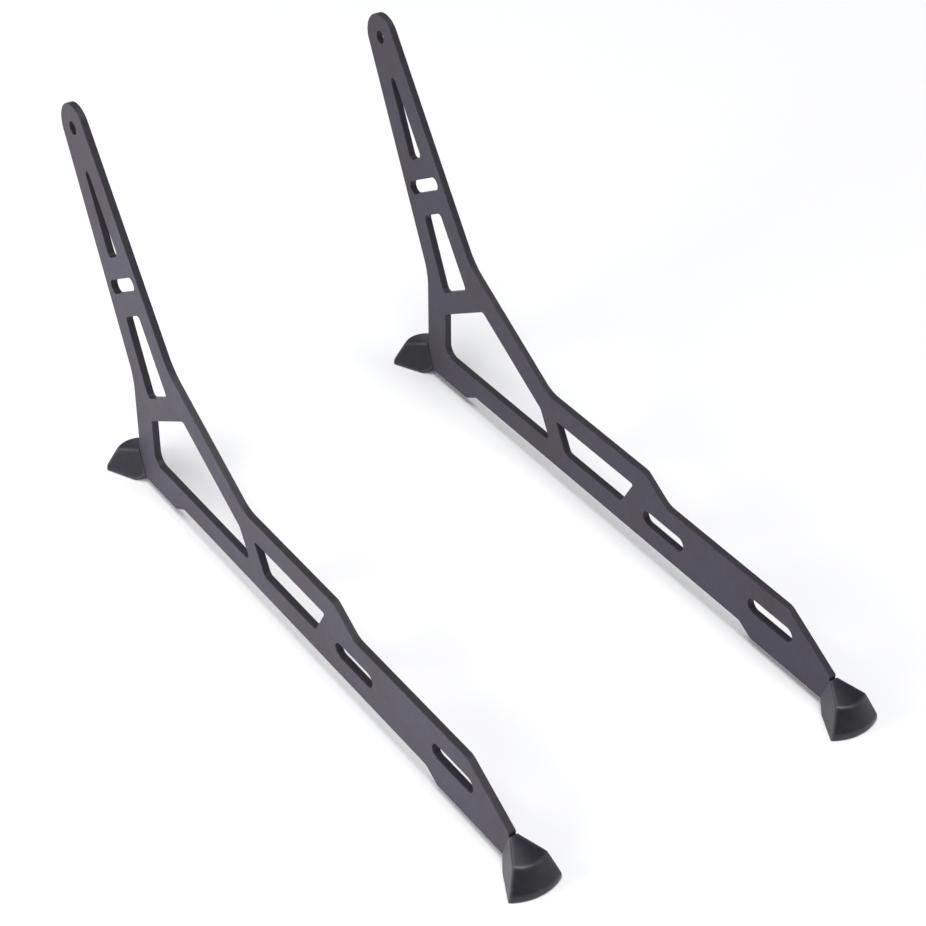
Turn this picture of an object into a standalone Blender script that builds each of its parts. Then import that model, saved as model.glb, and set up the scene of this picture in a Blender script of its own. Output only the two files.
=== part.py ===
"""A pair of flat-plate brackets, each standing on two moulded rubber feet.

Each bracket is cut from one plate: a level lower arm, an upper arm that leans back over the
heel, and a brace between them. A tongue at each end of the lower arm enters the slot of a
fan-shaped foot, and a screw through the sole holds it there, over a washer.

Side view of one bracket: x runs forwards from the back of the heel, z runs up from the
underside of the lower arm. The pair stands with its soles at z = 0 and its middle at the origin.
"""
import math

import bmesh
import bpy
from mathutils import Vector

MM = 0.001

# --- plate: overall sizes ---------------------------------------------------------------
PLATE_THICKNESS = 5.0 * MM
PLATE_LENGTH = 430.0 * MM          # back of the heel to the front end of the plate
UPPER_ARM_LENGTH = 179.6 * MM      # web to the centre of the top hole, along the arm
BRACKET_PITCH = 228.5 * MM         # left bracket to right bracket

# --- plate: angles ----------------------------------------------------------------------
BRACE_FALL = 30.0                  # brace, shoulder, nose and web all run at this angle
ARM_LEAN = 30.0                    # upper arm, back from upright
ARM_TAPER = 5.0                    # each side of the upper arm, from its centre line
STRUT_FALL = 60.0                  # strut between the two windows, and the window's ends

# --- plate: heights of the lower arm ----------------------------------------------------
END_DROP = 6.6 * MM                # both ends hang below the middle of the arm
REAR_ARM_HEIGHT = 51.0 * MM
FRONT_ARM_HEIGHT = 37.9 * MM
NOSE_END_HEIGHT = 13.9 * MM        # top of the plate's front end
HEEL_LENGTH = 48.0 * MM            # flat under the heel
TOE_BEHIND_SLOT = 16.0 * MM        # the toe's flat starts this far behind the front slot

# --- plate: widths of the solid strips --------------------------------------------------
HEEL_WALL = 22.1 * MM
CHORD = 15.5 * MM                  # strip under, over and between the windows
ARM_WALL = 16.2 * MM               # strip each side of the tapered slots
BRACE_WIDTH = 16.8 * MM
BRACE_REACH = 115.5 * MM           # heel corner to the brace's outer edge, square to it
ARM_REACH = 66.2 * MM              # heel corner to the upper arm's centre line, square to it
WEB_HEIGHT = 31.0 * MM             # heel corner to the web's lower edge, square to it
STRUT_REACH = 135.5 * MM           # heel corner to the strut's rear edge, square to it
WINDOW_LENGTH = 83.8 * MM          # long window, along its top edge
SHOULDER_AFTER_WINDOW = 9.9 * MM

# --- plate: holes and slots -------------------------------------------------------------
END_RADIUS = 16.3 * MM             # round top end, on the same centre as the hole
HOLE_DIAMETER = 9.0 * MM
SLOT_WIDTH = 10.0 * MM
SLOT_LENGTH = 41.0 * MM
REAR_SLOT_PLACE = 0.168            # along the arm, from the long window to the front end
FRONT_SLOT_PLACE = 0.712
CROSS_SLOT_LENGTH = 37.6 * MM
CROSS_SLOT_WIDTH = 9.3 * MM
CROSS_SLOT_PLACE = 0.5796          # along the upper arm, from the top hole to the web
STRIP_OVER_CROSS = 14.4 * MM       # solid strips on each side of the cross slot
STRIP_UNDER_CROSS = 15.7 * MM
TOP_SLOT_START = 28.2 * MM         # top hole to the narrow end of the tapered slot

# --- plate: corner radii ----------------------------------------------------------------
HEEL_FILLET = 40.0 * MM
BRACE_TOP_FILLET = 40.0 * MM
BRACE_FOOT_FILLET = 25.0 * MM
SHOULDER_FILLET = 8.0 * MM
SHOULDER_FOOT_FILLET = 15.0 * MM
NOSE_FILLET = 10.0 * MM
STEP_FILLET = 5.0 * MM
END_FILLET = 1.2 * MM
WINDOW_FILLET = 3.5 * MM
HEEL_WINDOW_FILLET = 8.0 * MM
TAPERED_SLOT_FILLET = 3.5 * MM
ARC_STEP = math.radians(12.0)

# --- tongue and its screw ---------------------------------------------------------------
TONGUE_LENGTH = 13.0 * MM
TONGUE_HEIGHT = 10.0 * MM
TONGUE_BOTTOM = -5.5 * MM          # from the underside of the lower arm
SCREW_PLACE = 7.5 * MM             # plate end to the screw
SCREW_DIAMETER = 3.0 * MM
SCREW_GRIP = 7.5 * MM              # thread inside the tongue
HEAD_DIAMETER = 5.6 * MM
HEAD_HEIGHT = 1.8 * MM
SOCKET_SIZE = 2.0 * MM             # across the flats of the hexagon
SOCKET_DEPTH = 1.0 * MM
WASHER_DIAMETER = 7.0 * MM
WASHER_THICKNESS = 0.6 * MM
HEAD_RECESS = 0.8 * MM             # screw head above the ground

# --- foot -------------------------------------------------------------------------------
SOLE_DROP = 11.75 * MM             # sole below the underside of the lower arm
FOOT_TOP = 12.5 * MM               # highest edge, above the underside of the lower arm
FOOT_GAP = 1.35 * MM               # plate end to the foot's highest edge
CREASE_HEIGHT = 7.35 * MM
CREASE_REACH = 16.3 * MM           # plate end to the crease's corners
CREASE_WIDTH = 23.3 * MM
CREASE_BULGE = 5.2 * MM
SOLE_REACH = 22.3 * MM             # plate end to the sole's outer corners
SOLE_WIDTH = 35.6 * MM
SOLE_BULGE = 5.3 * MM
SOLE_INNER_REACH = 1.8 * MM        # plate end to the sole's inner corners
SOLE_INNER_WIDTH = 16.4 * MM
LIP_HEIGHT = 4.0 * MM
CHEEK_LAP = 5.4 * MM               # how far the cheeks lap over the plate's faces, at their foot
CHEEK_TOP_LAP = 1.0 * MM           # and at their highest edge
CHEEK_BOTTOM = -5.8 * MM           # foot of the lap, from the underside of the lower arm
CHEEK_EDGE = 0.7 * MM              # thickness of the cheeks at their thin ends
FOOT_FILLET = 0.8 * MM

CLEARANCE = 0.3 * MM               # between pieces that fit together


def direction(degrees):
    return Vector((math.cos(math.radians(degrees)), math.sin(math.radians(degrees))))


def shifted(line, distance):
    """The parallel line that lies this far to the left of the line's direction."""
    point, along = line
    return point + distance * Vector((-along.y, along.x)), along


def meet(first, second):
    (p, d), (q, e) = first, second
    cross = d.x * e.y - d.y * e.x
    step = ((q.x - p.x) * e.y - (q.y - p.y) * e.x) / cross
    return p + step * d


def arc(centre, radius, start, end):
    count = max(2, math.ceil(abs(end - start) / ARC_STEP))
    angles = [start + (end - start) * i / count for i in range(count + 1)]
    return [centre + radius * Vector((math.cos(a), math.sin(a))) for a in angles]


def rounded(corners):
    """Replace each (corner, radius) of a closed outline with a tangent arc."""
    points = []
    for i, (corner, radius) in enumerate(corners):
        before = (corners[i - 1][0] - corner)
        after = (corners[(i + 1) % len(corners)][0] - corner)
        if radius == 0.0:
            points.append(corner)
            continue
        half = before.angle(after) / 2.0
        room = 0.45 * min(before.length, after.length)
        tangent = min(radius / math.tan(half), room)
        radius = tangent * math.tan(half)
        centre = corner + (before.normalized() + after.normalized()).normalized() * radius / math.sin(half)
        start = corner + before.normalized() * tangent - centre
        end = corner + after.normalized() * tangent - centre
        first = math.atan2(start.y, start.x)
        turn = math.remainder(math.atan2(end.y, end.x) - first, math.tau)
        points += arc(centre, radius, first, first + turn)
    return points


def slot_outline(centre, along, length, width):
    half = along * (length - width) / 2.0
    heading = math.atan2(along.y, along.x)
    quarter = math.pi / 2.0
    return (arc(centre + half, width / 2.0, heading - quarter, heading + quarter)
            + arc(centre - half, width / 2.0, heading + quarter, heading + 3.0 * quarter))


class PlateLayout:
    """The plate's side view: the lines that its outline and its windows share."""

    def __init__(self):
        heel = Vector((0.0, 0.0))
        level = direction(0.0)
        self.underside = (heel, level)
        self.end_underside = shifted(self.underside, -END_DROP)
        self.heel_back = (heel, direction(90.0))
        self.rear_top = shifted(self.underside, REAR_ARM_HEIGHT)
        self.front_top = shifted(self.underside, FRONT_ARM_HEIGHT)
        self.brace = shifted((heel, direction(-BRACE_FALL)), BRACE_REACH)
        self.brace_inner = shifted(self.brace, -BRACE_WIDTH)
        self.web = shifted((heel, direction(BRACE_FALL)), WEB_HEIGHT)
        self.web_upper = shifted(self.web, CHORD)
        self.chord = shifted(self.underside, CHORD)
        self.strut = shifted((heel, direction(-STRUT_FALL)), STRUT_REACH)
        self.strut_front = shifted(self.strut, CHORD)

        arm_heading = 90.0 + ARM_LEAN
        self.arm_up = direction(arm_heading)
        arm_middle = shifted((heel, self.arm_up), -ARM_REACH)
        self.hole = meet(arm_middle, self.web_upper) + self.arm_up * UPPER_ARM_LENGTH
        self.arm_rear = shifted((self.hole, direction(arm_heading - ARM_TAPER)), END_RADIUS)
        self.arm_front = shifted((self.hole, direction(arm_heading + ARM_TAPER)), -END_RADIUS)

        window_top = shifted(self.rear_top, -CHORD)
        self.window_rear = meet(self.strut_front, window_top)
        self.window_front = self.window_rear + level * WINDOW_LENGTH
        shoulder = self.window_front + Vector((SHOULDER_AFTER_WINDOW, CHORD))
        self.shoulder = (shoulder, direction(-BRACE_FALL))
        self.nose = (Vector((PLATE_LENGTH, NOSE_END_HEIGHT)), direction(-BRACE_FALL))
        self.front_end = (Vector((PLATE_LENGTH, 0.0)), direction(90.0))

    def place_on_arm(self, share):
        """A point half-way up the free arm, at this share of its length."""
        reach = PLATE_LENGTH - self.window_front.x
        return Vector((self.window_front.x + share * reach, FRONT_ARM_HEIGHT / 2.0))

    def across_arm(self, distance):
        """The line across the upper arm at this distance below its top hole."""
        return self.hole - self.arm_up * distance, direction(ARM_LEAN)


def tongue_corners(end, outwards):
    low = Vector((end, TONGUE_BOTTOM))
    high = Vector((end, TONGUE_BOTTOM + TONGUE_HEIGHT))
    out = Vector((outwards * TONGUE_LENGTH, 0.0))
    return [(low, 0.0), (low + out, END_FILLET), (high + out, END_FILLET), (high, 0.0)]


def plate_outline(lay):
    """The outer edge of the plate, clockwise from the bottom of the heel."""
    toe = lay.place_on_arm(FRONT_SLOT_PLACE).x - TOE_BEHIND_SLOT
    toe_step = (Vector((toe, -END_DROP)), direction(180.0 - BRACE_FALL))
    heel_step = (Vector((HEEL_LENGTH, -END_DROP)), direction(BRACE_FALL))
    lean = math.radians(90.0 + ARM_LEAN)
    side = math.radians(90.0 - ARM_TAPER)
    top = arc(lay.hole, END_RADIUS, lean + side, lean - side)
    front_tongue = tongue_corners(PLATE_LENGTH, 1.0)
    return rounded(
        [(meet(lay.heel_back, lay.end_underside), END_FILLET)]
        + tongue_corners(0.0, -1.0)
        + [(meet(lay.heel_back, lay.arm_rear), HEEL_FILLET)]
        + [(point, 0.0) for point in top]
        + [(meet(lay.arm_front, lay.brace), BRACE_TOP_FILLET),
           (meet(lay.brace, lay.rear_top), BRACE_FOOT_FILLET),
           (meet(lay.rear_top, lay.shoulder), SHOULDER_FILLET),
           (meet(lay.shoulder, lay.front_top), SHOULDER_FOOT_FILLET),
           (meet(lay.front_top, lay.nose), NOSE_FILLET),
           (meet(lay.nose, lay.front_end), END_FILLET)]
        + front_tongue[::-1]
        + [(meet(lay.front_end, lay.end_underside), END_FILLET),
           (toe_step[0], STEP_FILLET),
           (meet(toe_step, lay.underside), STEP_FILLET),
           (meet(heel_step, lay.underside), STEP_FILLET),
           (heel_step[0], STEP_FILLET)])


def tapered_slot(lay, upper, lower):
    rear = shifted(lay.arm_rear, -ARM_WALL)
    front = shifted(lay.arm_front, ARM_WALL)
    corners = [meet(rear, upper), meet(front, upper), meet(front, lower), meet(rear, lower)]
    return rounded([(corner, TAPERED_SLOT_FILLET) for corner in corners])


def plate_openings(lay):
    """Every hole, slot and window of the plate, as closed outlines."""
    heel_window = rounded([
        (meet(shifted(lay.heel_back, -HEEL_WALL), lay.chord), HEEL_WINDOW_FILLET),
        (meet(shifted(lay.heel_back, -HEEL_WALL), lay.web), END_FILLET),
        (meet(lay.web, lay.brace_inner), WINDOW_FILLET),
        (meet(lay.brace_inner, lay.strut), WINDOW_FILLET),
        (meet(lay.strut, lay.chord), WINDOW_FILLET)])
    window_end = (lay.window_front, direction(STRUT_FALL))
    long_window = rounded([
        (meet(lay.strut_front, lay.chord), WINDOW_FILLET),
        (lay.window_rear, END_FILLET),
        (lay.window_front, END_FILLET),
        (meet(window_end, lay.chord), WINDOW_FILLET)])
    cross = CROSS_SLOT_PLACE * UPPER_ARM_LENGTH
    over_cross = cross - CROSS_SLOT_WIDTH / 2.0 - STRIP_OVER_CROSS
    under_cross = cross + CROSS_SLOT_WIDTH / 2.0 + STRIP_UNDER_CROSS
    level = direction(0.0)
    return [
        heel_window,
        long_window,
        arc(lay.hole, HOLE_DIAMETER / 2.0, 0.0, math.tau)[:-1],
        tapered_slot(lay, lay.across_arm(TOP_SLOT_START), lay.across_arm(over_cross)),
        slot_outline(lay.across_arm(cross)[0], direction(ARM_LEAN), CROSS_SLOT_LENGTH, CROSS_SLOT_WIDTH),
        tapered_slot(lay, lay.across_arm(under_cross), lay.web_upper),
        slot_outline(lay.place_on_arm(REAR_SLOT_PLACE), level, SLOT_LENGTH, SLOT_WIDTH),
        slot_outline(lay.place_on_arm(FRONT_SLOT_PLACE), level, SLOT_LENGTH, SLOT_WIDTH)]


# --- Blender helpers --------------------------------------------------------------------

def clear_scene():
    for item in list(bpy.data.objects):
        bpy.data.objects.remove(item, do_unlink=True)


def new_collection(name):
    collection = bpy.data.collections.new(name)
    bpy.context.scene.collection.children.link(collection)
    return collection


def new_material(name, colour, roughness, metallic):
    material = bpy.data.materials.new(name)
    material.use_nodes = True
    shader = material.node_tree.nodes["Principled BSDF"]
    shader.inputs["Base Color"].default_value = (*colour, 1.0)
    shader.inputs["Roughness"].default_value = roughness
    shader.inputs["Metallic"].default_value = metallic
    material.diffuse_color = (*colour, 1.0)
    return material


def add_object(name, mesh, collection):
    item = bpy.data.objects.new(name, mesh)
    collection.objects.link(item)
    return item


def take_from_bpy(collection):
    """Move the object that an operator has just added to this collection."""
    item = bpy.context.object
    for owner in list(item.users_collection):
        owner.objects.unlink(item)
    collection.objects.link(item)
    return item


def evaluated_mesh(item):
    bpy.context.view_layer.update()
    depsgraph = bpy.context.evaluated_depsgraph_get()
    return bpy.data.meshes.new_from_object(item.evaluated_get(depsgraph))


def flat_plate(name, outlines, thickness, collection):
    """A flat piece: the first outline is its edge, and the others are openings in it."""
    curve = bpy.data.curves.new(name, "CURVE")
    curve.dimensions = "2D"
    curve.fill_mode = "BOTH"
    curve.extrude = thickness / 2.0
    for outline in outlines:
        spline = curve.splines.new("POLY")
        spline.points.add(len(outline) - 1)
        for point, place in zip(spline.points, outline):
            point.co = (place.x, place.y, 0.0, 1.0)
        spline.use_cyclic_u = True
    drawn = add_object(name + "_drawn", curve, collection)
    mesh = evaluated_mesh(drawn)
    bpy.data.objects.remove(drawn)
    welded = bmesh.new()
    welded.from_mesh(mesh)
    bmesh.ops.remove_doubles(welded, verts=welded.verts, dist=0.01 * MM)
    caps = [face for face in welded.faces if len(face.verts) == 3]
    inside_caps = [edge for edge in welded.edges if all(len(face.verts) == 3 for face in edge.link_faces)]
    bmesh.ops.beautify_fill(welded, faces=caps, edges=inside_caps, method="ANGLE")
    welded.to_mesh(mesh)
    welded.free()
    item = add_object(name, mesh, collection)
    item.rotation_euler.x = math.pi / 2.0
    return item


def as_cutter(item):
    item.hide_render = True
    item.display_type = "WIRE"
    return item


def box_cutter(name, low, high, collection):
    low, high = Vector(low), Vector(high)
    bpy.ops.mesh.primitive_cube_add(size=1.0, location=(low + high) / 2.0)
    item = take_from_bpy(collection)
    item.name = name
    item.scale = high - low
    return as_cutter(item)


def round_cutter(name, place, bottom, top, diameter, collection, sides=24):
    bpy.ops.mesh.primitive_cylinder_add(
        vertices=sides, radius=diameter / 2.0, depth=top - bottom,
        location=(place[0], place[1], (bottom + top) / 2.0))
    item = take_from_bpy(collection)
    item.name = name
    return as_cutter(item)


def cut(item, cutter):
    step = item.modifiers.new("cut_" + cutter.name, "BOOLEAN")
    step.operation = "DIFFERENCE"
    step.object = cutter


def settle(item):
    """Apply the modifiers, so that copies can share the finished mesh."""
    mesh = evaluated_mesh(item)
    item.modifiers.clear()
    item.data = mesh
    return item


def turned(name, profile, closed, collection, sides=32):
    """A turned piece about Z from (radius, height) points that run down its outer side."""
    mesh = bpy.data.meshes.new(name)
    count = len(profile)
    edges = [(i, (i + 1) % count) for i in range(count if closed else count - 1)]
    mesh.from_pydata([(radius, 0.0, height) for radius, height in profile], edges, [])
    item = add_object(name, mesh, collection)
    screw = item.modifiers.new("turn", "SCREW")
    screw.steps = sides
    screw.render_steps = sides
    screw.use_merge_vertices = True
    screw.merge_threshold = 0.01 * MM
    return item


# --- pieces -----------------------------------------------------------------------------

def make_plate(lay, parts, cutters):
    plate = flat_plate("left_plate", [plate_outline(lay)] + plate_openings(lay), PLATE_THICKNESS, parts)
    tapped = SCREW_DIAMETER + 2.0 * CLEARANCE
    for end, place in (("rear", -SCREW_PLACE), ("front", PLATE_LENGTH + SCREW_PLACE)):
        cut(plate, round_cutter(end + "_tapped_hole", (place, 0.0), TONGUE_BOTTOM - CLEARANCE,
                                TONGUE_BOTTOM + SCREW_GRIP + 2.0 * CLEARANCE, tapped, cutters, 16))
    return settle(plate)


def bulged(reach, width, bulge, height):
    """Points of an arc that bows forwards between two corners, seen from above."""
    radius = (width ** 2 / 4.0 + bulge ** 2) / (2.0 * bulge)
    centre = Vector((reach + bulge - radius, 0.0))
    half = math.atan2(width / 2.0, reach - centre.x)
    count = max(8, math.ceil(2.0 * half / math.radians(7.0)))
    angles = [half * (2.0 * i / count - 1.0) for i in range(count + 1)]
    return [(centre.x + radius * math.cos(a), radius * math.sin(a), height) for a in angles]


def foot_cage():
    """Corner points of the foot's body. x is outwards from the plate's end."""
    sole = -SOLE_DROP
    cheek = PLATE_THICKNESS / 2.0 + CLEARANCE + CHEEK_EDGE
    points = [(-CHEEK_LAP, cheek, CHEEK_BOTTOM), (-CHEEK_TOP_LAP, cheek, FOOT_TOP),
              (FOOT_GAP, cheek, FOOT_TOP), (SOLE_INNER_REACH, SOLE_INNER_WIDTH / 2.0, sole)]
    points += [(x, -y, z) for x, y, z in points]
    points += bulged(CREASE_REACH, CREASE_WIDTH, CREASE_BULGE, CREASE_HEIGHT)
    for height in (sole, sole + LIP_HEIGHT):
        points += bulged(SOLE_REACH, SOLE_WIDTH, SOLE_BULGE, height)
    return points


def make_foot(parts, cutters):
    hull = bmesh.new()
    for point in foot_cage():
        hull.verts.new(point)
    bmesh.ops.convex_hull(hull, input=hull.verts)
    bmesh.ops.dissolve_limit(hull, angle_limit=math.radians(1.0), verts=hull.verts, edges=hull.edges)
    mesh = bpy.data.meshes.new("foot")
    hull.to_mesh(mesh)
    hull.free()
    foot = add_object("left_front_foot", mesh, parts)
    soften = foot.modifiers.new("moulded_edges", "BEVEL")
    soften.width = FOOT_FILLET
    soften.segments = 1
    soften.limit_method = "ANGLE"
    soften.angle_limit = math.radians(25.0)

    gap = PLATE_THICKNESS / 2.0 + CLEARANCE
    sole = -SOLE_DROP
    recess_top = sole + HEAD_RECESS + HEAD_HEIGHT + WASHER_THICKNESS + 2.0 * CLEARANCE
    above = FOOT_TOP + SOLE_DROP
    cut(foot, box_cutter("plate_slot", (-2.0 * CHEEK_LAP, -gap, -END_DROP - CLEARANCE),
                         (FOOT_GAP - CLEARANCE, gap, above), cutters))
    tongue_top = TONGUE_BOTTOM + TONGUE_HEIGHT + CLEARANCE
    cut(foot, box_cutter("tongue_slot", (-CHEEK_LAP, -gap, TONGUE_BOTTOM - CLEARANCE),
                         (TONGUE_LENGTH + CLEARANCE, gap, tongue_top), cutters))
    cut(foot, round_cutter("screw_hole", (SCREW_PLACE, 0.0), sole, TONGUE_BOTTOM,
                           SCREW_DIAMETER + 2.0 * CLEARANCE, cutters))
    cut(foot, round_cutter("head_recess", (SCREW_PLACE, 0.0), sole - CLEARANCE, recess_top,
                           WASHER_DIAMETER + 4.0 * CLEARANCE, cutters, 32))
    return settle(foot)


def make_screw(parts, cutters):
    head_low = -SOLE_DROP + HEAD_RECESS
    head_high = head_low + HEAD_HEIGHT
    tip = TONGUE_BOTTOM + SCREW_GRIP
    shank = SCREW_DIAMETER / 2.0
    head = HEAD_DIAMETER / 2.0
    edge = 0.3 * MM
    screw = turned("left_front_screw", [
        (0.0, tip), (shank - edge, tip), (shank, tip - edge), (shank, head_high),
        (head - edge, head_high), (head, head_high - edge), (head, head_low),
        (0.0, head_low)], False, parts, 24)
    across = SOCKET_SIZE / math.cos(math.pi / 6.0)
    cut(screw, round_cutter("hexagon_socket", (0.0, 0.0), head_low - CLEARANCE, head_low + SOCKET_DEPTH,
                            across, cutters, 6))
    return settle(screw)


def make_washer(parts):
    low = -SOLE_DROP + HEAD_RECESS + HEAD_HEIGHT + CLEARANCE
    high = low + WASHER_THICKNESS
    inner = SCREW_DIAMETER / 2.0 + CLEARANCE
    outer = WASHER_DIAMETER / 2.0
    return settle(turned("left_front_washer", [(inner, high), (outer, high), (outer, low), (inner, low)],
                         True, parts))


def main():
    clear_scene()
    parts = new_collection("bracket_pair")
    cutters = new_collection("cutters")
    finishes = {
        "plate": new_material("satin_grey_paint", (0.135, 0.125, 0.145), 0.42, 0.0),
        "foot": new_material("black_rubber", (0.035, 0.034, 0.037), 0.55, 0.0),
        "screw": new_material("black_screw", (0.06, 0.06, 0.065), 0.35, 0.9),
        "washer": new_material("zinc_washer", (0.55, 0.56, 0.58), 0.3, 1.0),
    }
    lay = PlateLayout()
    plate = make_plate(lay, parts, cutters)
    foot = make_foot(parts, cutters)
    screw = make_screw(parts, cutters)
    washer = make_washer(parts)
    for item, finish in ((plate, "plate"), (foot, "foot"), (screw, "screw"), (washer, "washer")):
        item.data.materials.clear()
        item.data.materials.append(finishes[finish])
        item.data.shade_smooth()
        item.data.set_sharp_from_angle(angle=math.radians(30.0))

    foot_reach = SOLE_REACH + SOLE_BULGE
    back = min(lay.hole.x - END_RADIUS, -foot_reach)
    front = PLATE_LENGTH + foot_reach
    middle = (back + front) / 2.0
    ends = {"rear": (-middle, math.pi), "front": (PLATE_LENGTH - middle, 0.0)}
    for side, sign in (("left", -1.0), ("right", 1.0)):
        bracket = bpy.data.objects.new(side + "_bracket", None)
        parts.objects.link(bracket)
        bracket.location = (0.0, sign * BRACKET_PITCH / 2.0, SOLE_DROP)
        pieces = [("plate", plate, (-middle, 0.0, 0.0), 0.0)]
        for end, (place, turn) in ends.items():
            pieces.append((end + "_foot", foot, (place, 0.0, 0.0), turn))
            outwards = math.cos(turn) * SCREW_PLACE
            pieces.append((end + "_screw", screw, (place + outwards, 0.0, 0.0), turn))
            pieces.append((end + "_washer", washer, (place + outwards, 0.0, 0.0), turn))
        for piece, model, place, turn in pieces:
            name = side + "_" + piece
            item = model if model.name == name else add_object(name, model.data, parts)
            item.rotation_euler = (math.pi / 2.0, 0.0, 0.0) if piece == "plate" else (0.0, 0.0, turn)
            item.location = place
            item.parent = bracket


main()
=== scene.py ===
import math

import bmesh
import bpy
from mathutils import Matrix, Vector


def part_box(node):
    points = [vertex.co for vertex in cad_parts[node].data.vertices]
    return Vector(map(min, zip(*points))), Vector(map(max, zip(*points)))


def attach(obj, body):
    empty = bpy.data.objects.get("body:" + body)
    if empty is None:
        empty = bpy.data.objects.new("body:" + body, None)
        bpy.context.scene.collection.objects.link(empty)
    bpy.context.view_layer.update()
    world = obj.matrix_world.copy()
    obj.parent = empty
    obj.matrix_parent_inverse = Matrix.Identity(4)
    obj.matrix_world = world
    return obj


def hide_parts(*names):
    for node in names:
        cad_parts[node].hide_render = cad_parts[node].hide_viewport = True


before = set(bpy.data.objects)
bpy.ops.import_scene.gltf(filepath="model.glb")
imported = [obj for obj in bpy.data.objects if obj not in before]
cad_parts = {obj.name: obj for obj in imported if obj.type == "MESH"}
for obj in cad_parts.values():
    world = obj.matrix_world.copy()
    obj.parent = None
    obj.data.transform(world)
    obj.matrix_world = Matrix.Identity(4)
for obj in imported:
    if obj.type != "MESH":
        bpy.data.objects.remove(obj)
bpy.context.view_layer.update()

mm = 0.001
past = 10 * mm                          # how far a cutting tool runs past the piece
nib = 1 * mm                            # how far it runs into a space that is already open
heelCorner = Vector((0.0, 0.0))


# helpers for selecting, cutting and finishing

def sized(values):                      # millimetres to metres
    return {name: value * mm for name, value in values.items()}


def pickOnly(piece):
    bpy.ops.object.select_all(action="DESELECT")
    piece.select_set(True)
    bpy.context.view_layer.objects.active = piece


def selectWhere(piece, mode, wanted):   # opens edit mode with the wanted faces or edges selected
    pickOnly(piece)
    bpy.ops.object.mode_set(mode="EDIT")
    bpy.ops.mesh.select_mode(type=mode)
    bpy.ops.mesh.select_all(action="DESELECT")
    shape = bmesh.from_edit_mesh(piece.data)
    for item in shape.faces if mode == "FACE" else shape.edges:
        if wanted(item):
            item.select_set(True)
    bmesh.update_edit_mesh(piece.data)


def leaveEdit():
    bpy.ops.object.mode_set(mode="OBJECT")


def addBlock(name, low, high):
    bpy.ops.object.select_all(action="DESELECT")
    low, high = Vector(low), Vector(high)
    bpy.ops.mesh.primitive_cube_add(size=1.0, location=(low + high) / 2, scale=high - low)
    bpy.context.object.name = name
    bpy.ops.object.transform_apply(location=True, rotation=False, scale=True)
    return bpy.context.object


def addRound(name, place, radius, bottom, top, sides=48):
    bpy.ops.object.select_all(action="DESELECT")
    bpy.ops.mesh.primitive_cylinder_add(vertices=sides, radius=radius, depth=top - bottom,
                                        location=(place[0], place[1], (bottom + top) / 2))
    bpy.context.object.name = name
    bpy.ops.object.transform_apply(location=True, rotation=True, scale=True)
    return bpy.context.object


def sliceOff(piece, point, normal):     # cuts away what lies on the normal's side of the plane
    pickOnly(piece)
    bpy.ops.object.mode_set(mode="EDIT")
    bpy.ops.mesh.select_all(action="SELECT")
    bpy.ops.mesh.bisect(plane_co=point, plane_no=Vector(normal).normalized(), use_fill=True, clear_outer=True,
                        threshold=1e-7)
    leaveEdit()


def applyStep(piece, kind, **settings):
    pickOnly(piece)
    step = piece.modifiers.new(kind.lower(), kind)
    for name, value in settings.items():
        setattr(step, name, value)
    bpy.ops.object.modifier_apply(modifier=step.name)


def carve(piece, tool):
    applyStep(piece, "BOOLEAN", operation="DIFFERENCE", solver="EXACT", object=tool)
    bpy.data.objects.remove(tool)


def finishShading(piece, limit):
    pickOnly(piece)
    bpy.ops.object.shade_smooth_by_angle(angle=math.radians(limit))


def softenEdges(piece, width, segments, limit, edgeSlot=-1):
    applyStep(piece, "BEVEL", width=width, segments=segments, limit_method="ANGLE",
              angle_limit=math.radians(limit), use_clamp_overlap=False, material=edgeSlot,
              harden_normals=True)


def copyTo(model, name, where, turn=0.0):
    piece = model.copy()
    piece.data = model.data.copy()
    piece.name = name
    bpy.context.scene.collection.objects.link(piece)
    pickOnly(piece)
    piece.location = where
    piece.rotation_euler.z = turn
    bpy.ops.object.transform_apply(location=True, rotation=True, scale=True)
    return piece


# lines of the side view, as a point and a heading: x forwards from the heel, y up

def heading(degrees):
    return Vector((math.cos(math.radians(degrees)), math.sin(math.radians(degrees))))


def lineAt(degrees, offset=0.0, through=heelCorner):    # offset is to the left of the heading
    along = heading(degrees)
    return through + offset * Vector((-along.y, along.x)), along


def back(line):                         # the same line, run the other way
    return line[0], -line[1]


def beside(line, offset):
    return line[0] + offset * Vector((-line[1].y, line[1].x)), line[1]


def crossing(first, second):
    (p, d), (q, e) = first, second
    return p + d * ((q.x - p.x) * e.y - (q.y - p.y) * e.x) / (d.x * e.y - d.y * e.x)


def roundCorner(piece, corner, radius, segments):
    near = 0.05 * mm
    spare = 0.9995                      # a rounding stops just short of the next corner's

    def stands(edge):
        a, b = (vert.co for vert in edge.verts)
        return all(abs(end.x - corner.x) < near and abs(end.z - corner.y) < near for end in (a, b)) \
            and abs(a.y - b.y) > near

    selectWhere(piece, "EDGE", stands)
    picked = [edge for edge in bmesh.from_edit_mesh(piece.data).edges if edge.select]
    turn = picked[0].calc_face_angle()
    bpy.ops.mesh.bevel(offset_type="OFFSET", offset=radius * math.tan(turn / 2) * spare,
                       segments=segments, profile=0.5, affect="EDGES", clamp_overlap=False)
    leaveEdit()


toolLow, toolHigh = Vector((-120, -10, -20)) * mm, Vector((470, 10, 300)) * mm      # takes in the whole plate


def opening(name, lines, radii, segments=10):   # a tool that keeps what lies to the right of each line
    tool = addBlock(name, toolLow, toolHigh)
    for point, along in lines:
        sliceOff(tool, (point.x, 0, point.y), (-along.y, 0, along.x))
    for i, radius in enumerate(radii):
        if radius:
            roundCorner(tool, crossing(lines[i], lines[(i + 1) % len(lines)]), radius, segments)
    return tool


# finishes

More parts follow.
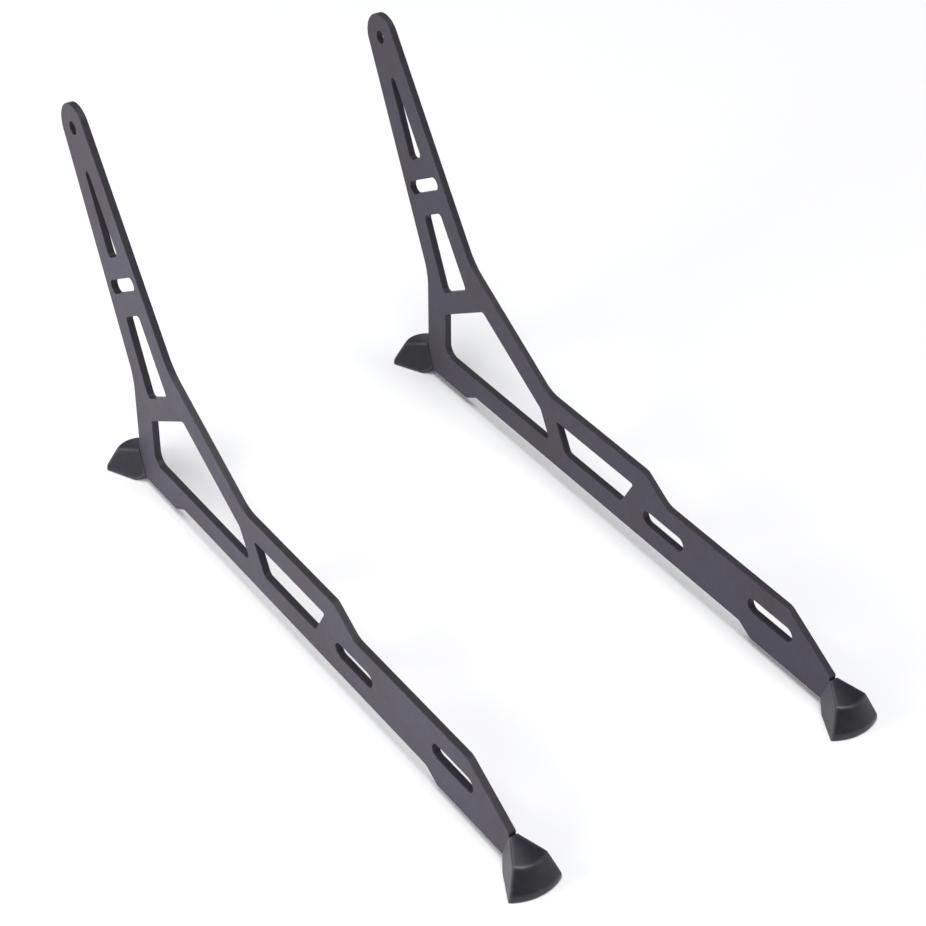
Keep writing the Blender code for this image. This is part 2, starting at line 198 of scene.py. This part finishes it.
class Signal:                           # a shader socket that Python sums can use
    def __init__(self, finish, socket):
        self.finish = finish
        self.socket = socket

    def sums(self, operation, first, second):
        return self.finish.node("ShaderNodeMath", dict(operation=operation), {0: first, 1: second})

    def __add__(self, other):
        return self.sums("ADD", self, other)

    def __radd__(self, other):
        return self.sums("ADD", other, self)

    def __sub__(self, other):
        return self.sums("SUBTRACT", self, other)

    def __rsub__(self, other):
        return self.sums("SUBTRACT", other, self)

    def __mul__(self, other):
        return self.sums("MULTIPLY", self, other)

    def __rmul__(self, other):
        return self.sums("MULTIPLY", other, self)


class Finish:                           # one material; steady values sit on the shader's own sockets
    def __init__(self, name, **steady):
        self.material = bpy.data.materials.new(name)
        self.material.use_nodes = True
        self.tree = self.material.node_tree
        self.shader = self.tree.nodes["Principled BSDF"]
        for socket, value in steady.items():
            self.shader.inputs[socket.replace("_", " ")].default_value = value
        self.place = self.node("ShaderNodeTexCoord", {}, {}, "Object")

    def node(self, kind, settings, inputs, output=0):
        made = self.tree.nodes.new(kind)
        for name, value in settings.items():
            setattr(made, name, value)
        for name, value in inputs.items():
            if isinstance(value, Signal):
                self.tree.links.new(value.socket, made.inputs[name])
            else:
                made.inputs[name].default_value = value
        return Signal(self, made.outputs[output])

    def grain(self, size, detail=2.0, roughness=0.5, along=(1, 1, 1)):     # noise with features of this size
        spread = self.node("ShaderNodeVectorMath", dict(operation="MULTIPLY"), {0: self.place, 1: along})
        return self.node("ShaderNodeTexNoise", {}, {"Vector": spread, "Scale": 1 / size, "Detail": detail,
                                                    "Roughness": roughness})

    def between(self, value, low, high):            # 0 below low, 1 above high
        return self.node("ShaderNodeMapRange", dict(interpolation_type="SMOOTHSTEP"),
                         {"Value": value, "From Min": low, "From Max": high})

    def blend(self, share, first, second):
        return self.node("ShaderNodeMix", dict(data_type="RGBA"), {0: share, 6: first, 7: second}, 2)

    def height(self):
        return self.node("ShaderNodeSeparateXYZ", {}, {0: self.place}, "Z")

    def relief(self, distance, strength, amount):
        return self.node("ShaderNodeBump", {}, {"Strength": strength, "Distance": distance, "Height": amount})

    def feed(self, **signals):
        for socket, signal in signals.items():
            self.tree.links.new(signal.socket, self.shader.inputs[socket.replace("_", " ")])
        return self.material


paint = dict(warm=(0.037, 0.025, 0.038, 1), cool=(0.022, 0.0205, 0.044, 1), rubbed=(0.062, 0.050, 0.062, 1),
             dust=(0.15, 0.14, 0.15, 1), gloss=0.45, cloudSize=45 * mm, fineSize=2.2 * mm, speckSize=1.3 * mm,
             rubSize=9 * mm, faceRub=0.12, roundedEdgeShare=0.6, peelSize=0.9 * mm, peelDepth=0.08 * mm)
cutWall = dict(dark=(0.021, 0.019, 0.024, 1), light=(0.034, 0.031, 0.037, 1), gloss=0.44, cloudSize=20 * mm,
               lineSize=0.55 * mm, lineRun=(1, 0.06, 1), lineDepth=0.05 * mm)
# edge is the colour of a painted highlight: the rubber's rounded outer edges are drawn lighter
rubber = dict(face=(0.0080, 0.0070, 0.0135, 1), worn=(0.026, 0.024, 0.032, 1), edge=(0.060, 0.057, 0.068, 1),
              dust=(0.085, 0.082, 0.086, 1), gloss=0.36, pebbleSize=0.42 * mm, pebbleDepth=0.07 * mm,
              cloudSize=7 * mm, scuffSize=3.1 * mm, scuffRun=(0.5, 1, 1.6), soleBandFrom=0.2 * mm, soleBandTo=5.5 * mm)
blackOxide = dict(face=(0.016, 0.016, 0.019, 1), worn=(0.075, 0.073, 0.072, 1), gloss=0.38,
                  wearSize=0.9 * mm, skinSize=0.25 * mm, skinDepth=0.02 * mm)
zinc = dict(face=(0.50, 0.51, 0.53, 1), dull=(0.33, 0.34, 0.37, 1), gloss=0.34,
            flakeSize=0.8 * mm, skinSize=0.3 * mm, skinDepth=0.02 * mm)


def paintFinish(name, rub):
    p = paint
    coat = Finish(name, Metallic=0.0, Specular_IOR_Level=0.36, IOR=1.5)
    cloud = coat.between(coat.grain(p["cloudSize"], detail=3.0), low=0.35, high=0.68)
    fine = coat.grain(p["fineSize"], detail=4.0, roughness=0.6)
    speck = coat.between(coat.grain(p["speckSize"], detail=1.0), low=0.72, high=0.80)
    base = coat.blend(cloud * 0.75 + fine * 0.25, p["cool"], p["warm"])
    worn = coat.between(coat.grain(p["rubSize"], detail=4.0, roughness=0.65), low=0.42, high=0.66) * rub
    base = coat.blend(worn, base, p["rubbed"])
    base = coat.blend(speck * 0.22, base, p["dust"])
    sheen = p["gloss"] + (fine - 0.5) * 0.16 + (cloud - 0.5) * 0.07 - worn * 0.08
    peel = coat.grain(p["peelSize"], detail=2.0, roughness=0.45)
    skin = coat.relief(p["peelDepth"], strength=0.7, amount=peel + fine * 0.35)
    return coat.feed(Base_Color=base, Roughness=sheen, Normal=skin)


def wallFinish():                       # laser cut wall under the same paint: faint lines across the sheet
    c = cutWall
    coat = Finish("paintedWall", Metallic=0.0, Specular_IOR_Level=0.3, IOR=1.5)
    lines = coat.grain(c["lineSize"], detail=2.0, roughness=0.5, along=c["lineRun"])
    cloud = coat.grain(c["cloudSize"], detail=3.0)
    base = coat.blend(cloud * 0.5 + lines * 0.5, c["dark"], c["light"])
    return coat.feed(Base_Color=base, Roughness=c["gloss"] + (lines - 0.5) * 0.2,
                     Normal=coat.relief(c["lineDepth"], strength=0.6, amount=lines))


def rubberFinish():
    m = rubber
    skin = Finish("mouldedRubber", Metallic=0.0, Specular_IOR_Level=0.34, IOR=1.5)
    pebble = skin.grain(m["pebbleSize"], detail=3.0, roughness=0.6)
    cloud = skin.between(skin.grain(m["cloudSize"], detail=4.0, roughness=0.6), low=0.35, high=0.7)
    # lighter and rougher towards the sole, in patches: partly dust, partly a painted highlight along the lip
    # band
    soleDustAndHighlight = (1 - skin.between(skin.height(), m["soleBandFrom"], m["soleBandTo"])) * cloud
    scuff = skin.between(skin.grain(m["scuffSize"], detail=3.0, roughness=0.7, along=m["scuffRun"]),
                         low=0.56, high=0.72)
    base = skin.blend(scuff * 0.30 + cloud * 0.22, m["face"], m["worn"])
    base = skin.blend(soleDustAndHighlight * 0.35, base, m["dust"])
    # painted highlight: the rounded outer edges, read from the edge attribute that markEdges writes, are mixed
    # towards the lighter edge colour
    rubbed = skin.node("ShaderNodeAttribute", dict(attribute_name="roundedEdgeShare"), {}, "Fac")
    base = skin.blend(rubbed * (0.62 + cloud * 0.3), base, m["edge"])
    sheen = m["gloss"] + (pebble - 0.5) * 0.2 + soleDustAndHighlight * 0.14 - scuff * 0.07
    return skin.feed(Base_Color=base, Roughness=sheen,
                     Normal=skin.relief(m["pebbleDepth"], strength=0.5, amount=pebble))


def screwFinish():
    b = blackOxide
    steel = Finish("blackOxideSteel", Metallic=0.85, IOR=2.2)
    wear = steel.between(steel.grain(b["wearSize"], detail=4.0, roughness=0.65), low=0.5, high=0.72)
    base = steel.blend(wear * 0.6, b["face"], b["worn"])
    skin = steel.relief(b["skinDepth"], strength=0.4, amount=steel.grain(b["skinSize"], detail=3.0))
    return steel.feed(Base_Color=base, Roughness=b["gloss"] + (1 - wear) * 0.12, Normal=skin)


def washerFinish():
    z = zinc
    plating = Finish("zincPlate", Metallic=1.0)
    cells = plating.node("ShaderNodeTexVoronoi", {},
                         {"Vector": plating.place, "Scale": 1 / z["flakeSize"]}, "Color")
    flake = plating.node("ShaderNodeSeparateColor", {}, {0: cells})
    base = plating.blend(flake, z["dull"], z["face"])
    skin = plating.relief(z["skinDepth"], strength=0.3, amount=plating.grain(z["skinSize"], detail=3.0))
    return plating.feed(Base_Color=base, Roughness=z["gloss"] + (flake - 0.5) * 0.18, Normal=skin)


plateFinishes = [paintFinish("satinPaint", paint["faceRub"]), paintFinish("rubbedPaint", paint["roundedEdgeShare"]),
                 wallFinish()]
edgeSlot, wallSlot = 1, 2               # places in that list; the rolled face is 0
rubberSkin, blackSteel, zincSteel = rubberFinish(), screwFinish(), washerFinish()
print("finishes mixed")


# plate of one bracket, in its side view

plate = sized(dict(
    thickness=5.0, length=430.0, upperArm=179.6,
    endDrop=6.6, rearHeight=51.0, frontHeight=37.9, noseEnd=13.9, heelLength=48.0, toeBehindSlot=16.0,
    heelWall=22.1, chord=15.5, armWall=16.2, braceWidth=16.8, braceReach=115.5, armReach=66.2,
    webHeight=31.0, strutReach=135.5, windowLength=83.8, shoulderAfterWindow=9.9,
    endRadius=16.3, hole=9.0, slotWidth=10.0, slotLength=41.0, crossLength=37.6, crossWidth=9.3,
    overCross=14.4, underCross=15.7, topSlotStart=28.2,
    tongueLength=13.0, tongueHeight=10.0, tongueBottom=-5.5, tappedHole=3.2, tappedDepth=8.1,
    screwPlace=7.5, edgeRadius=0.45))
plate.update(fall=30.0, lean=30.0, taper=5.0, strut=60.0, sharpAngle=28,           # degrees
             rearSlot=0.168, frontSlot=0.712, cross=0.5796,         # shares of the free arm and the upper arm
             edgeSegments=3, cornerSegments=8, endSegments=16, holeSides=64, tappedSides=32)
plate["fillets"] = sized(dict(heel=40.0, braceTop=40.0, braceFoot=25.0, shoulder=8.0, shoulderFoot=15.0,
                              nose=10.0, step=5.0, end=1.2, window=3.5, heelWindow=8.0, taperedSlot=3.5))


def sideLines():
    p, fall, lean = plate, plate["fall"], 90 + plate["lean"]
    lines = dict(
        heelBack=lineAt(90), underside=lineAt(0), chord=lineAt(0, p["chord"]),
        rearTop=lineAt(0, p["rearHeight"]), frontTop=lineAt(0, p["frontHeight"]),
        brace=lineAt(-fall, p["braceReach"]), web=lineAt(fall, p["webHeight"]),
        strut=lineAt(-p["strut"], p["strutReach"]),
        nose=lineAt(-fall, through=Vector((p["length"], p["noseEnd"]))),
        frontEnd=lineAt(90, through=Vector((p["length"], 0))))
    lines["braceInner"] = beside(lines["brace"], -p["braceWidth"])
    lines["webUpper"] = beside(lines["web"], p["chord"])
    lines["strutFront"] = beside(lines["strut"], p["chord"])
    lines["windowTop"] = beside(lines["rearTop"], -p["chord"])
    upright = heading(lean)
    foot = crossing(lineAt(lean, -p["armReach"]), lines["webUpper"])
    hole = foot + upright * p["upperArm"]
    lines["armRear"] = lineAt(lean - p["taper"], p["endRadius"], hole)
    lines["armFront"] = lineAt(lean + p["taper"], -p["endRadius"], hole)
    lines["armTop"] = lineAt(lean - 90, through=hole + upright * p["endRadius"])
    windowFront = crossing(lines["strutFront"], lines["windowTop"]) + Vector((p["windowLength"], 0))
    lines["windowEnd"] = lineAt(p["strut"], through=windowFront)
    shoulder = windowFront + Vector((p["shoulderAfterWindow"], p["chord"]))
    lines["shoulder"] = lineAt(-fall, through=shoulder)
    return lines, hole, upright, windowFront


def makePlate():
    p, r = plate, plate["fillets"]
    on, hole, upright, windowFront = sideLines()
    half = p["thickness"] / 2
    low, tongueTop = -p["endDrop"], p["tongueBottom"] + p["tongueHeight"]
    blank = addBlock("plate", (hole.x - 2 * p["endRadius"], -half, low),
                     (p["length"] + p["tongueLength"], half, hole.y + 2 * p["endRadius"]))
    for point, along in (on["nose"], on["armTop"]):
        sliceOff(blank, (point.x, 0, point.y), (-along.y, 0, along.x))

    alongFree = p["length"] - windowFront.x
    slots = [Vector((windowFront.x + p[end] * alongFree, p["frontHeight"] / 2))
             for end in ("rearSlot", "frontSlot")]
    heelEnd = Vector((p["heelLength"], low))
    toeStart = Vector((slots[1].x - p["toeBehindSlot"], low))
    heelStep = lineAt(p["fall"], through=heelEnd)
    toeStep = lineAt(180 - p["fall"], through=toeStart)
    levelTongue = lineAt(0, tongueTop)
    underTongue = lineAt(0, p["tongueBottom"])
    beforeShoulder = lineAt(90, past, on["shoulder"][0])
    notches = [
        ("behindArm", [back(on["heelBack"]), back(levelTongue), back(on["armRear"])], [0, 0, r["heel"]]),
        ("behindTongue", [back(lineAt(90, p["tongueLength"])), lineAt(0, tongueTop + past / 2)], []),
        ("underRearTongue", [back(on["heelBack"]), underTongue], []),
        ("aboveBrace", [on["armFront"], back(on["brace"]), back(on["rearTop"])],
         [r["braceTop"], r["braceFoot"]]),
        ("aboveFrontArm", [beforeShoulder, back(on["shoulder"]), back(on["frontTop"])],
         [0, r["shoulderFoot"]]),
        ("aboveFrontTongue", [on["frontEnd"], back(levelTongue)], []),
        ("underFrontTongue", [on["frontEnd"], underTongue], []),
        ("underMiddle", [heelStep, on["underside"], back(toeStep)], [r["step"], r["step"], 0])]
    for name, lines, radii in notches:
        carve(blank, opening(name, lines, radii))

    rearWall = beside(on["armRear"], -p["armWall"])
    frontWall = back(beside(on["armFront"], p["armWall"]))

    def acrossArm(distance):
        return lineAt(p["lean"], through=hole - upright * distance)

    cross = p["cross"] * p["upperArm"]
    over = cross - p["crossWidth"] / 2
    under = cross + p["crossWidth"] / 2
    crossEnds = [lineAt(90 + p["lean"], side * p["crossLength"] / 2, hole - upright * cross)
                 for side in (1, -1)]
    tapered = [r["taperedSlot"]] * 4
    sill = back(on["chord"])
    windows = [
        ("heelWindow", [beside(on["heelBack"], -p["heelWall"]), on["web"], on["braceInner"], on["strut"], sill],
         [r["end"], r["window"], r["window"], r["window"], r["heelWindow"]]),
        ("longWindow", [back(on["strutFront"]), on["windowTop"], back(on["windowEnd"]), sill],
         [r["end"], r["end"], r["window"], r["window"]]),
        ("topSlot", [rearWall, acrossArm(p["topSlotStart"]), frontWall,
                     back(acrossArm(over - p["overCross"]))], tapered),
        ("lowerSlot", [rearWall, acrossArm(under + p["underCross"]), frontWall,
                       back(on["webUpper"])], tapered),
        ("crossSlot", [crossEnds[0], acrossArm(over), back(crossEnds[1]), back(acrossArm(under))],
         [p["crossWidth"] / 2] * 4)]
    for name, centre in zip(("rearSlot", "frontSlot"), slots):
        rise, reach = p["slotWidth"] / 2, p["slotLength"] / 2
        ends = [lineAt(90, side * reach, centre) for side in (1, -1)]
        levels = [lineAt(0, side * rise, centre) for side in (1, -1)]
        windows.append((name, [ends[0], levels[0], back(ends[1]), back(levels[1])], [rise] * 4))
    for name, lines, radii in windows:
        carve(blank, opening(name, lines, radii))

    drill = addRound("topHole", (hole.x, -hole.y), p["hole"] / 2, -past, past, p["holeSides"])
    drill.rotation_euler.x = -math.pi / 2
    carve(blank, drill)
    for place in (-p["screwPlace"], p["length"] + p["screwPlace"]):
        carve(blank, addRound("tappedHole", (place, 0), p["tappedHole"] / 2, low - nib,
                              p["tongueBottom"] + p["tappedDepth"], p["tappedSides"]))

    corners = [(heelEnd, r["step"]), (toeStart, r["step"]),
               (crossing(on["rearTop"], on["shoulder"]), r["shoulder"]),
               (crossing(on["frontTop"], on["nose"]), r["nose"]),
               (Vector((p["length"], p["noseEnd"])), r["end"]),
               (Vector((0, low)), r["end"]), (Vector((p["length"], low)), r["end"])]
    corners += [(Vector((end, level)), r["end"])
                for end in (-p["tongueLength"], p["length"] + p["tongueLength"])
                for level in (p["tongueBottom"], tongueTop)]
    corners += [(crossing(on["armTop"], on[side]), p["endRadius"]) for side in ("armRear", "armFront")]
    for corner, radius in corners:
        roundCorner(blank, corner, radius,
                    p["endSegments"] if radius == p["endRadius"] else p["cornerSegments"])
    return blank


plateModel = makePlate()
for paintCoat in plateFinishes:
    plateModel.data.materials.append(paintCoat)
selectWhere(plateModel, "FACE", lambda face: abs(face.normal.y) < 0.5)      # the walls, not the faces
plateModel.active_material_index = wallSlot
bpy.ops.object.material_slot_assign()
leaveEdit()
finishShading(plateModel, plate["sharpAngle"])
softenEdges(plateModel, plate["edgeRadius"], plate["edgeSegments"], plate["sharpAngle"], edgeSlot)
print("plate cut:", len(plateModel.data.polygons), "faces")


# rubber foot of the front end: x outwards from the plate's end, z from the plate's underside

foot = sized(dict(
    soleHeight=-11.75, soleRadius=32.54, soleCentre=-4.94, lipHeight=4.0,
    creaseHeight=7.35, creaseRadius=15.65, creaseCentre=5.85,
    topHeight=12.5, topCentre=-0.85, topReach=2.2, topHalfWidth=4.6,
    soleInner=1.8, soleInnerHalfWidth=8.0,
    cheekHalfWidth=3.25, cheekTopLap=1.2, cheekLap=5.6, cheekHeight=-5.8,
    slotHalfWidth=2.8, slotDepth=-6.9, slotReach=1.05, tongueReach=13.3, tongueLow=-5.8, tongueHigh=4.8,
    screwPlace=7.5, screwHole=3.6, headRecess=8.2, recessTop=-7.95, voxel=0.42))
foot.update(sides=160, smoothing=22, sharpAngle=40, flankTurn=0.5, flankRise=0.19, recessSides=64, holeSides=48,
            edgeTurn=math.radians(5.0), slotTurn=math.radians(35.0), edgeSpread=4)


def markEdges(piece, name, fullTurn, sharpTurn, spread):     # rises to 1 on rounded outer edges, where the rubber gets a painted highlight
    shape = bmesh.new()
    shape.from_mesh(piece.data)

    def turnAt(edge):
        turn = edge.calc_face_angle_signed(0.0)
        return turn if abs(turn) < sharpTurn else 0.0

    turns = [sum(turnAt(edge) for edge in vert.link_edges) / len(vert.link_edges) for vert in shape.verts]
    for i in range(spread):                 # shared out among the neighbours
        turns = [(turns[vert.index] + sum(turns[edge.other_vert(vert).index] for edge in vert.link_edges))
                 / (1 + len(vert.link_edges)) for vert in shape.verts]
    shape.free()
    marks = piece.data.attributes.new(name, "FLOAT", "POINT")
    marks.data.foreach_set("value", [min(max(turn / fullTurn, 0.0), 1.0) for turn in turns])


def makeFoot():
    f = foot
    body = addRound("foot", (f["soleCentre"], 0), f["soleRadius"], f["soleHeight"],
                    f["soleHeight"] + f["lipHeight"], f["sides"])
    steps = [(f["creaseHeight"], f["creaseCentre"], f["creaseRadius"], f["creaseRadius"]),
             (f["topHeight"], f["topCentre"], f["topReach"], f["topHalfWidth"])]
    height, centre = f["soleHeight"] + f["lipHeight"], f["soleCentre"]
    reach = halfWidth = f["soleRadius"]
    selectWhere(body, "FACE", lambda face: face.normal.z > 0.9)
    for nextHeight, nextCentre, nextReach, nextHalfWidth in steps:
        bpy.ops.mesh.extrude_region_move(
            TRANSFORM_OT_translate=dict(value=(nextCentre - centre, 0, nextHeight - height)))
        bpy.ops.transform.resize(value=(nextReach / reach, nextHalfWidth / halfWidth, 1),
                                 center_override=(nextCentre, 0, nextHeight))
        height, centre, reach, halfWidth = nextHeight, nextCentre, nextReach, nextHalfWidth
    leaveEdit()

    for side in (1, -1):
        soleInner = Vector((f["soleInner"], side * f["soleInnerHalfWidth"], f["soleHeight"]))
        cheekTop = Vector((-f["cheekTopLap"], side * f["cheekHalfWidth"], f["topHeight"]))
        cheekLow = Vector((-f["cheekLap"], side * f["cheekHalfWidth"], f["cheekHeight"]))
        sliceOff(body, soleInner, (-f["flankTurn"], side, f["flankRise"]))
        innerFace = (cheekTop - soleInner).cross(cheekLow - soleInner) * side
        sliceOff(body, soleInner, innerFace if innerFace.x < 0 else -innerFace)
    lapLine = cheekLow - cheekTop
    sliceOff(body, (-f["cheekTopLap"], 0, f["topHeight"]), (lapLine.z, 0, -lapLine.x))
    underLine = soleInner - cheekLow
    sliceOff(body, (f["soleInner"], 0, f["soleHeight"]), (underLine.z, 0, -underLine.x))
    carve(body, addRound("recess", (f["screwPlace"], 0), f["headRecess"] / 2, f["soleHeight"] - past,
                         f["recessTop"], f["recessSides"]))

    applyStep(body, "REMESH", mode="VOXEL", voxel_size=f["voxel"], use_smooth_shade=True)
    applyStep(body, "SMOOTH", factor=0.5, iterations=f["smoothing"])     # moulded rubber has no sharp edge
    wide = f["slotHalfWidth"]
    carve(body, addBlock("plateSlot", (-2 * past, -wide, f["slotDepth"]), (f["slotReach"], wide, 2 * past)))
    carve(body, addBlock("tongueSlot", (-2 * past, -wide, f["tongueLow"]),
                         (f["tongueReach"], wide, f["tongueHigh"])))
    carve(body, addRound("screwHole", (f["screwPlace"], 0), f["screwHole"] / 2, f["recessTop"] - nib,
                         f["tongueLow"] + nib, f["holeSides"]))
    finishShading(body, f["sharpAngle"])
    # marks the rounded edges that get the rubber's painted highlight
    markEdges(body, "roundedEdgeShare", f["edgeTurn"], f["slotTurn"], f["edgeSpread"])
    return body


footModel = makeFoot()
footModel.data.materials.append(rubberSkin)
print("foot moulded:", len(footModel.data.polygons), "faces")


# screw and washer of a foot

screw = sized(dict(place=7.5, headRadius=2.8, headLow=-10.95, headHeight=1.8, shankRadius=1.5, top=2.0,
                   threadPitch=0.5, threadDepth=0.16, key=2.0, keyDepth=1.0, headEdge=0.25))
screw.update(sides=48, keySides=6, headEdgeSegments=3, sharpAngle=30)
washer = sized(dict(outer=3.5, inner=1.8, low=-8.85, thickness=0.6, edge=0.12))
washer.update(sides=64, holeSides=48, sharpAngle=30, edgeAngle=40, edgeSegments=2)


def makeScrew():
    s = screw
    headTop = s["headLow"] + s["headHeight"]
    body = addRound("screw", (s["place"], 0), s["headRadius"], s["headLow"], headTop, s["sides"])
    centre = Vector((s["place"], 0, headTop))
    selectWhere(body, "FACE", lambda face: face.normal.z > 0.9)
    bpy.ops.mesh.inset(thickness=s["headRadius"] - s["shankRadius"], depth=0)
    turns = int((s["top"] - centre.z) / s["threadPitch"])
    rise = (s["top"] - centre.z) / (2 * turns)
    narrow = 1 - s["threadDepth"] / s["shankRadius"]
    for i in range(2 * turns):              # in to a groove, then out to a crest
        centre.z += rise
        bpy.ops.mesh.extrude_region_move(TRANSFORM_OT_translate=dict(value=(0, 0, rise)))
        size = narrow if i % 2 == 0 else 1 / narrow
        bpy.ops.transform.resize(value=(size, size, 1), center_override=centre)
    leaveEdit()
    keyRadius = s["key"] / 2 / math.cos(math.radians(30))       # to a corner, from the width across flats
    carve(body, addRound("key", (s["place"], 0), keyRadius, s["headLow"] - nib, s["headLow"] + s["keyDepth"],
                         s["keySides"]))

    def headRim(edge):
        a, b = (vert.co for vert in edge.verts)
        rim = all((end - Vector((s["place"], 0, end.z))).length > s["headRadius"] * 0.99 for end in (a, b))
        return rim and abs(a.z - b.z) < s["headEdge"] / 2

    selectWhere(body, "EDGE", headRim)
    bpy.ops.mesh.bevel(offset=s["headEdge"], segments=s["headEdgeSegments"], profile=0.5, affect="EDGES")
    leaveEdit()
    finishShading(body, s["sharpAngle"])
    return body


def makeWasher():
    w = washer
    body = addRound("washer", (screw["place"], 0), w["outer"], w["low"], w["low"] + w["thickness"], w["sides"])
    carve(body, addRound("hole", (screw["place"], 0), w["inner"], w["low"] - nib, w["low"] + 2 * nib,
                         w["holeSides"]))
    finishShading(body, w["sharpAngle"])
    softenEdges(body, w["edge"], w["edgeSegments"], w["edgeAngle"])
    return body


screwModel, washerModel = makeScrew(), makeWasher()
screwModel.data.materials.append(blackSteel)
washerModel.data.materials.append(zincSteel)
print("screw and washer turned")


# both brackets, each piece a copy at its place

def placeCopy(model, name, where, turn, body, node):
    piece = copyTo(model, name, where, turn)
    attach(piece, body)
    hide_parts(node)


for side in ("left", "right"):
    low, high = (Vector(corner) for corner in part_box(side + "_plate"))
    heel = Vector((high.x - plate["length"] - plate["tongueLength"], (low.y + high.y) / 2,
                   low.z + plate["endDrop"]))
    toe = heel + Vector((plate["length"], 0, 0))
    body = side + "_bracket"
    placeCopy(plateModel, side + "Plate", heel, 0, body, side + "_plate")
    for end, where, turn in (("Rear", heel, math.pi), ("Front", toe, 0)):
        node = side + "_" + end.lower() + "_"
        placeCopy(footModel, side + end + "Foot", where, turn, body, node + "foot")
        placeCopy(screwModel, side + end + "Screw", where, turn, body, node + "screw")
        placeCopy(washerModel, side + end + "Washer", where, turn, body, node + "washer")
for model in (plateModel, footModel, screwModel, washerModel):
    bpy.data.objects.remove(model)


# floor, light and camera

studio = dict(floorSize=12.0, floorColour=(0.84, 0.84, 0.845, 1), floorShade=(0.83, 0.83, 0.84, 1),
              floorCloud=120 * mm, floorGloss=0.62, skyColour=(0.95, 0.97, 1.0, 1), skyStrength=0.28,
              keyEnergy=5.2, keySize=0.6, keyPlace=(-0.1, -0.9, 0.42),
              skyLightEnergy=2.85, skyLightSpread=42.0, skyLightPlace=(0.55, -0.35, 3.3), aim=(0.0, 0.0, 0.08))
view = dict(lens=95.02, sensor=36.0, place=(1.01905, -0.6681, 0.9771), tilt=55.73, turn=56.05,
            shiftX=-0.00826, shiftY=-0.0924, nearest=0.05, farthest=50.0)


def addFloor():
    bpy.ops.object.select_all(action="DESELECT")
    bpy.ops.mesh.primitive_plane_add(size=studio["floorSize"], location=(0, 0, 0))
    floor = bpy.context.object
    floor.name = "studioFloor"
    paper = Finish("floorPaper", Metallic=0.0, Specular_IOR_Level=0.3)
    tone = paper.grain(studio["floorCloud"], detail=2.0)
    base = paper.blend(tone * 0.2, studio["floorColour"], studio["floorShade"])
    floor.data.materials.append(paper.feed(Base_Color=base, Roughness=studio["floorGloss"] + tone * 0.06))


def addSoftLight(name, kind, place, energy, **settings):
    lamp = bpy.data.lights.new(name, kind)
    lamp.energy = energy
    for setting, value in settings.items():
        setattr(lamp, setting, value)
    holder = bpy.data.objects.new(name, lamp)
    bpy.context.scene.collection.objects.link(holder)
    holder.location = place
    holder.rotation_euler = (Vector(studio["aim"]) - Vector(place)).to_track_quat("-Z", "Y").to_euler()


def addCamera():
    camera = bpy.data.cameras.new("camera")
    camera.lens, camera.sensor_width = view["lens"], view["sensor"]
    camera.shift_x, camera.shift_y = view["shiftX"], view["shiftY"]
    camera.clip_start, camera.clip_end = view["nearest"], view["farthest"]
    holder = bpy.data.objects.new("camera", camera)
    bpy.context.scene.collection.objects.link(holder)
    holder.location = view["place"]
    holder.rotation_euler = (math.radians(view["tilt"]), 0, math.radians(view["turn"]))
    bpy.context.scene.camera = holder


addFloor()
addSoftLight("keyLight", "AREA", studio["keyPlace"], studio["keyEnergy"], shape="DISK",
             size=studio["keySize"])
addSoftLight("skyLight", "SUN", studio["skyLightPlace"], studio["skyLightEnergy"],
             angle=math.radians(studio["skyLightSpread"]))
sky = bpy.data.worlds.new("studioSky")
sky.use_nodes = True
sky.node_tree.nodes["Background"].inputs["Color"].default_value = studio["skyColour"]
sky.node_tree.nodes["Background"].inputs["Strength"].default_value = studio["skyStrength"]
bpy.context.scene.world = sky
bpy.context.scene.view_settings.view_transform = "Standard"     # the pale floor stays pale
addCamera()
print("studio lit")
